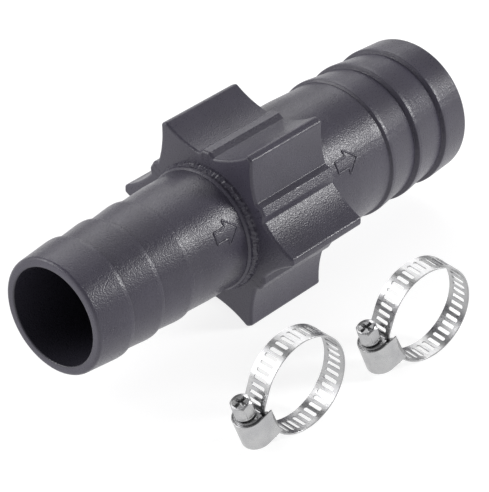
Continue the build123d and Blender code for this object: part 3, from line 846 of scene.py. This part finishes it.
def slot_cell(middle):
    """Faces of one pitch of the strap round its slot, as loops of (s, y)."""
    half_pitch = SLOT_PITCH / 2
    half_width = BAND_WIDTH / 2
    half_slot = SLOT_WIDTH / 2
    straight = SLOT_LENGTH / 2 - half_slot
    inner = []
    outer = []
    for end in (1, -1):
        for k in range(SLOT_END_STEPS + 1):
            a = pi * k / SLOT_END_STEPS
            inner.append((end * half_slot * cos(a), end * (straight + half_slot * sin(a))))
            t = 4 * k / SLOT_END_STEPS
            if t <= 1:
                far = (half_pitch, straight + (half_width - straight) * t)
            elif t <= 3:
                far = (half_pitch * (2 - t), half_width)
            else:
                far = (-half_pitch, straight + (half_width - straight) * (4 - t))
            outer.append((end * far[0], end * far[1]))
        for k in (1, 2):
            y = end * straight * (1 - 2 * k / 3)
            inner.append((-end * half_slot, y))
            outer.append((-end * half_pitch, y))
    faces = []
    count = len(inner)
    for i in range(count):
        j = (i + 1) % count
        faces.append([inner[i], inner[j], outer[j], outer[i]])
    return [[(middle + s, y) for s, y in face] for face in faces]


def edge_heights():
    """The places across the strap of a cell's end, the same for slotted and plain cells."""
    straight = SLOT_LENGTH / 2 - SLOT_WIDTH / 2
    half_width = BAND_WIDTH / 2
    quarter = SLOT_END_STEPS // 4
    upper = [straight + (half_width - straight) * k / quarter for k in range(1, quarter + 1)]
    upper = [straight / 3, straight] + upper
    return [-y for y in reversed(upper)] + upper


def plain_cell(start, end, steps):
    """Faces of a stretch of the strap that has no slot."""
    heights = edge_heights()
    faces = []
    for k in range(steps):
        s0 = start + (end - start) * k / steps
        s1 = start + (end - start) * (k + 1) / steps
        for y0, y1 in zip(heights, heights[1:]):
            faces.append([(s0, y0), (s1, y0), (s1, y1), (s0, y1)])
    return faces


def tip_cell(start, end):
    """The strap's free end, whose corners are rounded off."""
    heights = edge_heights()
    steps = 8
    faces = []
    for k in range(steps):
        rows = []
        for t in (k / steps, (k + 1) / steps):
            s = start + (end - start) * (1 - (1 - t) ** 2)
            share = sqrt(1 - (BAND_TIP_NARROWING * t) ** 2)
            rows.append([(s, y * share) for y in heights])
        for i in range(len(heights) - 1):
            faces.append([rows[0][i], rows[1][i], rows[1][i + 1], rows[0][i + 1]])
    return faces


def make_strap(name, cells, place, open_ends):
    """A stretch of the strap from its flat cells: given a thickness, its edges eased, and bent
    along the strap's line. open_ends are the s of ends that another stretch carries on."""
    shape = bmesh.new()
    known = {}

    def vert(s, y, height):
        key = (round(s, 4), round(y, 4), height)
        if key not in known:
            known[key] = shape.verts.new((s, y, height))
        return known[key]

    half = BAND_THICKNESS / 2
    sides = {}
    for face in cells:
        shape.faces.new([vert(s, y, half) for s, y in face])
        shape.faces.new([vert(s, y, -half) for s, y in reversed(face)])
        for a, b in zip(face, face[1:] + face[:1]):
            ka = (round(a[0], 4), round(a[1], 4))
            kb = (round(b[0], 4), round(b[1], 4))
            if (kb, ka) in sides:
                del sides[(kb, ka)]
            else:
                sides[(ka, kb)] = (a, b)
    for a, b in sides.values():
        shape.faces.new([vert(*b, half), vert(*a, half), vert(*a, -half), vert(*b, -half)])
    bmesh.ops.recalc_face_normals(shape, faces=shape.faces)
    eased = []
    for edge in shape.edges:
        s0, s1 = edge.verts[0].co.x, edge.verts[1].co.x
        at_cut = any(abs(s0 - s) < 0.001 and abs(s1 - s) < 0.001 for s in open_ends)
        if len(edge.link_faces) == 2 and edge.calc_face_angle() > EASED_ANGLE and not at_cut:
            eased.append(edge)
    bmesh.ops.bevel(shape, geom=eased, offset=BAND_EDGE_ROUND, segments=2, affect="EDGES")
    shape.verts.ensure_lookup_table()
    shape.verts.index_update()
    verts = [strap_point(v.co.x, v.co.y, v.co.z) for v in shape.verts]
    faces = [[v.index for v in face.verts] for face in shape.faces]
    shape.free()
    return make_piece(name, verts, faces, "polished_steel", place, sharp_angle=50.0)


def make_clamp_straps(clamp, place):
    """The strap in three stretches: held, the stretch across the hinge, and sliding."""
    flex_length = FLEX_PITCHES * SLOT_PITCH
    plain_start = -FIXED_LENGTH
    slot_start = -(SLOTS_ROUND_RING // 2 - BLIND_PITCHES) * SLOT_PITCH
    held = plain_cell(plain_start, slot_start, 10)
    for k in range(round((-flex_length - slot_start) / SLOT_PITCH)):
        held += slot_cell(slot_start + (k + 0.5) * SLOT_PITCH)
    bending = []
    for k in range(-FLEX_PITCHES, FLEX_PITCHES):
        bending += slot_cell((k + 0.5) * SLOT_PITCH)
    sliding = []
    count = floor(FREE_LENGTH / SLOT_PITCH)
    for k in range(FLEX_PITCHES, count):
        sliding += slot_cell((k + 0.5) * SLOT_PITCH)
    sliding += tip_cell(count * SLOT_PITCH, FREE_LENGTH)

    fixed = make_strap(f"{clamp}_strap_held", held, place, (-flex_length,))
    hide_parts(f"{clamp}_band_fixed_half")
    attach(fixed, "root")
    free = make_strap(f"{clamp}_strap_sliding", sliding, place, (flex_length,))
    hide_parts(f"{clamp}_band_free_half")
    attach(free, f"{clamp}_band")
    flex = make_strap(f"{clamp}_strap_bending", bending, place, (-flex_length, flex_length))
    start = place @ (Vector(strap_point(-flex_length, 0, 0)) * MM)
    end = place @ (Vector(strap_point(flex_length, 0, 0)) * MM)
    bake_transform(flex)


def bent_plate(inner, outer, z0, z1, y0, y1, edge_round):
    """Points and faces of a plate bent about the ring's axis, its edges eased."""
    shape = bmesh.new()
    steps = 14
    rows = []
    for radius in (inner, outer):
        grid = []
        for k in range(steps + 1):
            z = z0 + (z1 - z0) * k / steps
            grid.append([shape.verts.new((radius, z, y)) for y in (y0, (y0 + y1) / 2, y1)])
        rows.append(grid)
    for grid in rows:
        for k in range(steps):
            for i in range(2):
                shape.faces.new((grid[k][i], grid[k][i + 1], grid[k + 1][i + 1], grid[k + 1][i]))
    low, high = rows
    for k in range(steps):
        for i in (0, 2):
            shape.faces.new((low[k][i], low[k + 1][i], high[k + 1][i], high[k][i]))
    for k in (0, steps):
        for i in range(2):
            shape.faces.new((low[k][i], low[k][i + 1], high[k][i + 1], high[k][i]))
    bmesh.ops.recalc_face_normals(shape, faces=shape.faces)
    corners = [
        e for e in shape.edges
        if e.calc_face_angle() > EASED_ANGLE and abs(e.verts[0].co.x - e.verts[1].co.x) > 0.01
    ]
    corner_round = min(PLATE_CORNER_ROUND, (y1 - y0) / 4)
    bmesh.ops.bevel(shape, geom=corners, offset=corner_round, segments=4, affect="EDGES")
    edges = [e for e in shape.edges if e.calc_face_angle() > EASED_ANGLE]
    bmesh.ops.bevel(shape, geom=edges, offset=edge_round, segments=2, affect="EDGES")
    shape.verts.index_update()
    verts = []
    for v in shape.verts:
        radius, z, y = v.co
        verts.append((-sqrt(radius * radius - z * z), y, z))
    faces = [[v.index for v in face.verts] for face in shape.faces]
    shape.free()
    return verts, faces


def joined(parts):
    """Several shells as one list of points and one of faces."""
    verts, faces = [], []
    for part_verts, part_faces in parts:
        base = len(verts)
        verts += part_verts
        faces += [[base + i for i in face] for face in part_faces]
    return verts, faces


def shell_section(radius, end_radius, z):
    """Half-round section of the housing at height z, from one side's edge round to the other's.
    The straight sides run up to the ring of end_radius."""
    edge_x = -sqrt(end_radius * end_radius - z * z)
    side = [edge_x + (DOME_AXIS_X - edge_x) * k / 5 for k in range(5)]
    dome = [pi / 2 + pi * k / DOME_STEPS for k in range(DOME_STEPS + 1)]
    points = [(x, radius) for x in side]
    points += [(DOME_AXIS_X + radius * cos(a), radius * sin(a)) for a in dome]
    points += [(x, -radius) for x in reversed(side)]
    return points


def shell_wall(end_radius):
    """The pressed shell: outer and inner face, joined by a rounded rim at top and bottom."""
    z0, z1 = HOUSING_Z
    middle = HOUSING_OUTER_RADIUS - HOUSING_WALL / 2
    half = HOUSING_WALL / 2
    half_turn = [pi * k / 6 for k in range(7)]
    top = [(half * cos(a), z1 - half + half * sin(a)) for a in half_turn]
    bottom = [(-half * cos(a), z0 + half - half * sin(a)) for a in half_turn]
    high, low = top[-1][1], bottom[-1][1]
    steps = [k / 8 for k in range(1, 8)]
    levels = top + [(-half, high + (z0 + half - high) * t) for t in steps]
    levels += bottom + [(half, low + (z1 - half - low) * t) for t in steps]
    columns = []
    for out, z in levels:
        columns.append([(x, y, z) for x, y in shell_section(middle + out, end_radius, z)])
    # each place along the section is a ring of the wall's profile
    rings = [[column[i] for column in columns] for i in range(len(columns[0]))]
    return loft(rings)


def end_plate(z0, z1, hole_radius, chord_x, radius):
    """The shell's end that carries the screw: a plate with a round hole."""
    count = 64

    def reach(a):
        c, s = cos(a), sin(a)
        offset = DOME_AXIS_X - SCREW_AXIS_X
        to_arc = offset * c + sqrt(radius * radius - offset * offset * s * s)
        if to_arc * c > offset:
            to_arc = radius / abs(s) if abs(s) > 1e-6 else 1e6
        to_chord = (chord_x - SCREW_AXIS_X) / c if c > 1e-6 else 1e6
        return min(to_arc, to_chord)

    angles = [2 * pi * k / count for k in range(count)]
    edge = PLATE_EDGE_ROUND
    outline = [reach(a) for a in angles]
    eased = [r - edge for r in outline]
    hole = [hole_radius] * count
    wide_hole = [hole_radius + edge] * count
    levels = (
        (outline, z0), (outline, z1 - edge), (eased, z1),
        (wide_hole, z1), (hole, z1 - edge), (hole, z0),
    )
    rings = [
        [(SCREW_AXIS_X + r * cos(a), r * sin(a), z) for r, a in zip(radii, angles)]
        for radii, z in levels
    ]
    return loft(rings, wrap=True)


def make_housing(clamp, place):
    """Pressed housing: dome, the two ends that carry the screw, and the lugs under the saddle."""
    z0, z1 = HOUSING_Z
    lug_outer = BAND_RADIUS - BAND_THICKNESS / 2 - SADDLE_THICKNESS
    lug_inner = lug_outer - LUG_THICKNESS
    chord_x = HINGE.x - TAIL_RADIUS - BAND_THICKNESS / 2 - HOUSING_END_CLEARANCE
    wall_top = z1 - HOUSING_LIP
    wall_reach = HOUSING_OUTER_RADIUS - HOUSING_WALL * PLATE_REACH_SHARE
    parts = [shell_wall(lug_inner)]
    parts.append(end_plate(
        wall_top - HOUSING_END_WALL, wall_top, NECK_RADIUS + BEARING_CLEARANCE, chord_x, wall_reach
    ))
    parts.append(end_plate(
        wall_top - PLATE_OVERLAP, z1 + BOSS_RISE, NECK_RADIUS + BEARING_CLEARANCE, chord_x,
        BOSS_RADIUS
    ))
    parts.append(end_plate(
        z0 + PLATE_OVERLAP, z0 + HOUSING_END_WALL, JOURNAL_RADIUS + BEARING_CLEARANCE, chord_x,
        wall_reach
    ))
    inner = HOUSING_OUTER_RADIUS - HOUSING_WALL
    for side in (-1, 1):
        edge = side * (inner + HOUSING_WALL / 2)
        tip = side * (inner - LUG_REACH)
        low, high = min(edge, tip), max(edge, tip)
        parts.append(bent_plate(
            lug_inner, lug_outer, z0 + LUG_INSET, z1 - LUG_INSET, low, high, LUG_EDGE_ROUND
        ))
    piece = make_piece(f"{clamp}_housing_shell", *joined(parts), "polished_steel", place)
    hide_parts(f"{clamp}_housing")
    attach(piece, "root")


def make_saddle(clamp, place):
    """Curved bridge under the strap."""
    outer = BAND_RADIUS - BAND_THICKNESS / 2
    half = BAND_WIDTH / 2
    plate = bent_plate(
        outer - SADDLE_THICKNESS, outer, HOUSING_Z[0], SADDLE_TOP_Z, -half, half, BAND_EDGE_ROUND
    )
    piece = make_piece(f"{clamp}_saddle_plate", *plate, "polished_steel", place)
    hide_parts(f"{clamp}_saddle")
    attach(piece, "root")


def hex_reach(a, across_flats, corner_round):
    """Distance from the axis to a hexagon with rounded corners, in direction a."""
    sixth = pi / 3
    off = (a % sixth) - sixth / 2
    flat = across_flats / 2
    reach = flat / cos(off)
    # the rounded corner is an arc about a point on the corner's diagonal
    corner = flat / cos(sixth / 2)
    centre = corner - corner_round / cos(sixth / 2)
    from_corner = sixth / 2 - abs(off)
    s = centre * sin(from_corner)
    if corner_round > s:
        arc = centre * cos(from_corner) + sqrt(corner_round * corner_round - s * s)
        reach = min(reach, arc)
    return reach


def cross_reach(a, half_length, half_width):
    """Distance from the axis to the outline of a cross, in direction a."""
    quarter = pi / 2
    off = abs((a + quarter / 2) % quarter - quarter / 2)
    if tan(off) < half_width / half_length:
        return half_length / cos(off)
    return half_width / sin(off)


def screw_angles():
    """Directions round the screw that catch the corners of its hexagon and its recess."""
    angles = {round(2 * pi * k / SCREW_SEGMENTS, 6) for k in range(SCREW_SEGMENTS)}
    corner = atan(RECESS_WIDTH / RECESS_LENGTH)
    past = corner + RECESS_EDGE_TURN
    for k in range(4):
        for off in (-past, -corner, corner, past, pi / 4):
            angles.add(round((k * pi / 2 + off) % (2 * pi), 6))
    return sorted(angles)


def thread_height(a, z, z0, z1):
    """How far the worm's surface stands out of its root, 0 to 1, with run-outs at its ends."""
    phase = (z / SLOT_PITCH - a / (2 * pi)) % 1.0
    off = abs(phase - 0.5) * SLOT_PITCH
    height = max(0.0, min(1.0, (THREAD_FOOT_HALF_WIDTH - off) / THREAD_FLANK_WIDTH))
    lower = max(0.0, (z - z0) / THREAD_RUN_OUT)
    upper = max(0.0, (z1 - z) / THREAD_RUN_OUT)
    run_out = min(1.0, lower, upper)
    return height * run_out


def make_screw(clamp, place):
    """Worm screw: journal, worm, neck, flange and hex head with a dished, cross-slotted top."""
    z0, z1 = HOUSING_Z
    worm_bottom = z0 + HOUSING_END_WALL + END_GAP
    worm_top = z1 - HOUSING_LIP - HOUSING_END_WALL - END_GAP
    flange_bottom = z1 + BOSS_RISE + END_GAP
    flange_top = flange_bottom + FLANGE_HEIGHT
    head_top = flange_top + HEX_HEIGHT
    angles = screw_angles()
    rings = []

    def shaped_ring(reach, z):
        rings.append([(SCREW_AXIS_X + reach(a) * cos(a), reach(a) * sin(a), z) for a in angles])

    def round_ring(radius, z):
        shaped_ring(lambda a: radius, z)

    round_ring(JOURNAL_RADIUS - JOURNAL_CHAMFER, z0)
    round_ring(JOURNAL_RADIUS, z0 + JOURNAL_CHAMFER)
    round_ring(JOURNAL_RADIUS, worm_bottom)
    thread_depth = WORM_CREST_RADIUS - WORM_ROOT_RADIUS
    for k in range(WORM_STEPS + 1):
        z = worm_bottom + (worm_top - worm_bottom) * k / WORM_STEPS
        shaped_ring(
            lambda a: WORM_ROOT_RADIUS + thread_depth * thread_height(a, z, worm_bottom, worm_top),
            z,
        )
    round_ring(NECK_RADIUS, worm_top)
    round_ring(NECK_RADIUS, flange_bottom)
    low = FLANGE_LOWER_ROUND
    high = FLANGE_UPPER_ROUND
    quarter = [pi / 2 * k / 4 for k in range(5)]
    round_ring(FLANGE_RADIUS - low, flange_bottom)
    for a in quarter:
        round_ring(FLANGE_RADIUS - low + low * sin(a), flange_bottom + low - low * cos(a))
    for a in quarter:
        round_ring(FLANGE_RADIUS - high + high * cos(a), flange_top - high + high * sin(a))

    def hexagon(a):
        return hex_reach(a, HEX_ACROSS_FLATS, HEX_CORNER_ROUND) - HEX_INSET

    shaped_ring(hexagon, flange_top)
    shaped_ring(hexagon, flange_top + HEX_FOOT)
    # a cone cuts the corners of the hexagon at its top
    widest = HEX_ACROSS_FLATS / 2 / cos(pi / 6) - CONE_INSET
    cone_bottom = head_top - CONE_HEIGHT
    for k in range(7):
        z = cone_bottom + CONE_HEIGHT * k / 6
        limit = widest - (z - cone_bottom) * CONE_SLOPE
        shaped_ring(lambda a: min(hexagon(a), limit), z)
    top = widest - CONE_HEIGHT * CONE_SLOPE
    for inset, depth in HEAD_DISH:
        round_ring(top - inset, head_top - depth)
    half_length, half_width = RECESS_LENGTH / 2, RECESS_WIDTH / 2
    lip, wall = RECESS_LIP_DEPTHS
    shaped_ring(lambda a: cross_reach(a, half_length, half_width) + RECESS_LIP, head_top - lip)
    shaped_ring(lambda a: cross_reach(a, half_length, half_width), head_top - wall)
    floor_length = half_length * RECESS_FLOOR_SHARES[0]
    floor_width = half_width * RECESS_FLOOR_SHARES[1]
    shaped_ring(lambda a: cross_reach(a, floor_length, floor_width), head_top - RECESS_DEPTH)
    piece = make_piece(f"{clamp}_worm_screw", *loft(rings), "polished_steel", place, 30.0)
    weight_normals(piece)
    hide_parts(f"{clamp}_screw")
    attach(piece, f"{clamp}_screw")


# ---- the whole object
make_valve_body()
make_inlet_tail()
make_weld_bead()
make_flow_arrow("inlet_flow_arrow", *INLET_ARROW, INLET_TUBE_RADIUS)
make_flow_arrow("outlet_flow_arrow", *OUTLET_ARROW, OUTLET_TUBE_RADIUS)
make_spring()
for clamp_name in ("clamp_a", "clamp_b"):
    clamp_frame = clamp_place(clamp_name)
    make_clamp_straps(clamp_name, clamp_frame)
    make_saddle(clamp_name, clamp_frame)
    make_housing(clamp_name, clamp_frame)
    make_screw(clamp_name, clamp_frame)

# the CAD's own nodes keep their shape and get a material
for row in frame["record"]["subparts"]:
    node = frame["nodes"][row["node"]]
    node.data.materials.clear()
    node.data.materials.append(MATERIALS[row["material_slot"]])


# ---- floor, light and camera
def make_floor():
    """Pale studio floor at the height of the hub's two lower points."""
    mesh = bpy.data.meshes.new("studio_floor")
    half = FLOOR_HALF_SIZE
    z = cad_box[0].z
    mesh.from_pydata([(-half, -half, z), (half, -half, z), (half, half, z), (-half, half, z)],
                     [], [(0, 1, 2, 3)])
    material, tree, shader, place = new_material("studio_floor")
    cloud = noise_of(tree, place, 0.4, 1.0)
    colour = two_colours(tree, spread(tree, cloud, 0, 1), *FLOOR_COLOURS)
    tree.links.new(colour, shader.inputs["Base Color"])
    shader.inputs["Roughness"].default_value = 0.9
    shader.inputs["Specular IOR Level"].default_value = 0.1
    shader.inputs["Emission Color"].default_value = (1, 1, 1, 1)
    shader.inputs["Emission Strength"].default_value = FLOOR_GLOW
    mesh.materials.append(material)
    piece = bpy.data.objects.new("studio_floor", mesh)
    scene.collection.objects.link(piece)


def make_world():
    """Studio surroundings: bright at the horizon and in a belt 32 degrees up, dim overhead."""
    world = bpy.data.worlds.new("studio")
    world.use_nodes = True
    tree = world.node_tree
    place = tree.nodes.new("ShaderNodeTexCoord")
    split = tree.nodes.new("ShaderNodeSeparateXYZ")
    tree.links.new(place.outputs["Generated"], split.inputs["Vector"])
    ramp = tree.nodes.new("ShaderNodeValToRGB")
    ramp.color_ramp.interpolation = "EASE"
    points = ramp.color_ramp.elements
    for position, level in WORLD_LEVELS[1:-1]:
        points.new(position)
    for point, (position, level) in zip(points, WORLD_LEVELS):
        point.position = position
        point.color = (level, level, level * 1.01, 1)
    tree.links.new(split.outputs["Z"], ramp.inputs["Fac"])
    tree.links.new(ramp.outputs["Color"], tree.nodes["Background"].inputs["Color"])
    tree.nodes["Background"].inputs["Strength"].default_value = 1.0
    scene.world = world


def put(name, data, place, turn):
    """A light or camera in its place, turned."""
    piece = bpy.data.objects.new(name, data)
    piece.location = place
    piece.rotation_mode = "QUATERNION"
    piece.rotation_quaternion = turn
    scene.collection.objects.link(piece)
    return piece


def make_light(name, azimuth, elevation, size, power):
    """A soft square light that faces the object's middle. The azimuth is from +X towards +Y."""
    light = bpy.data.lights.new(name, "AREA")
    light.shape = "SQUARE"
    light.size = size
    light.energy = power
    az, el = radians(azimuth), radians(elevation)
    place = Vector((cos(az) * cos(el), sin(az) * cos(el), sin(el))) * LIGHT_DISTANCE
    put(name, light, place, (-place).to_track_quat("-Z", "Y"))


def make_camera():
    """Long lens, from ahead of the inlet and well above the floor."""
    camera = bpy.data.cameras.new("camera")
    camera.lens = CAMERA_LENS
    camera.sensor_width = CAMERA_SENSOR
    level = Vector(CAMERA_AIM).to_track_quat("-Z", "Y")
    turn = level @ Quaternion((0, 0, 1), radians(CAMERA_ROLL))
    scene.camera = put("camera", camera, CAMERA_PLACE, turn)


make_floor()
make_world()
for light_row in LIGHTS:
    make_light(*light_row)
make_camera()
scene.view_settings.view_transform = "Standard"
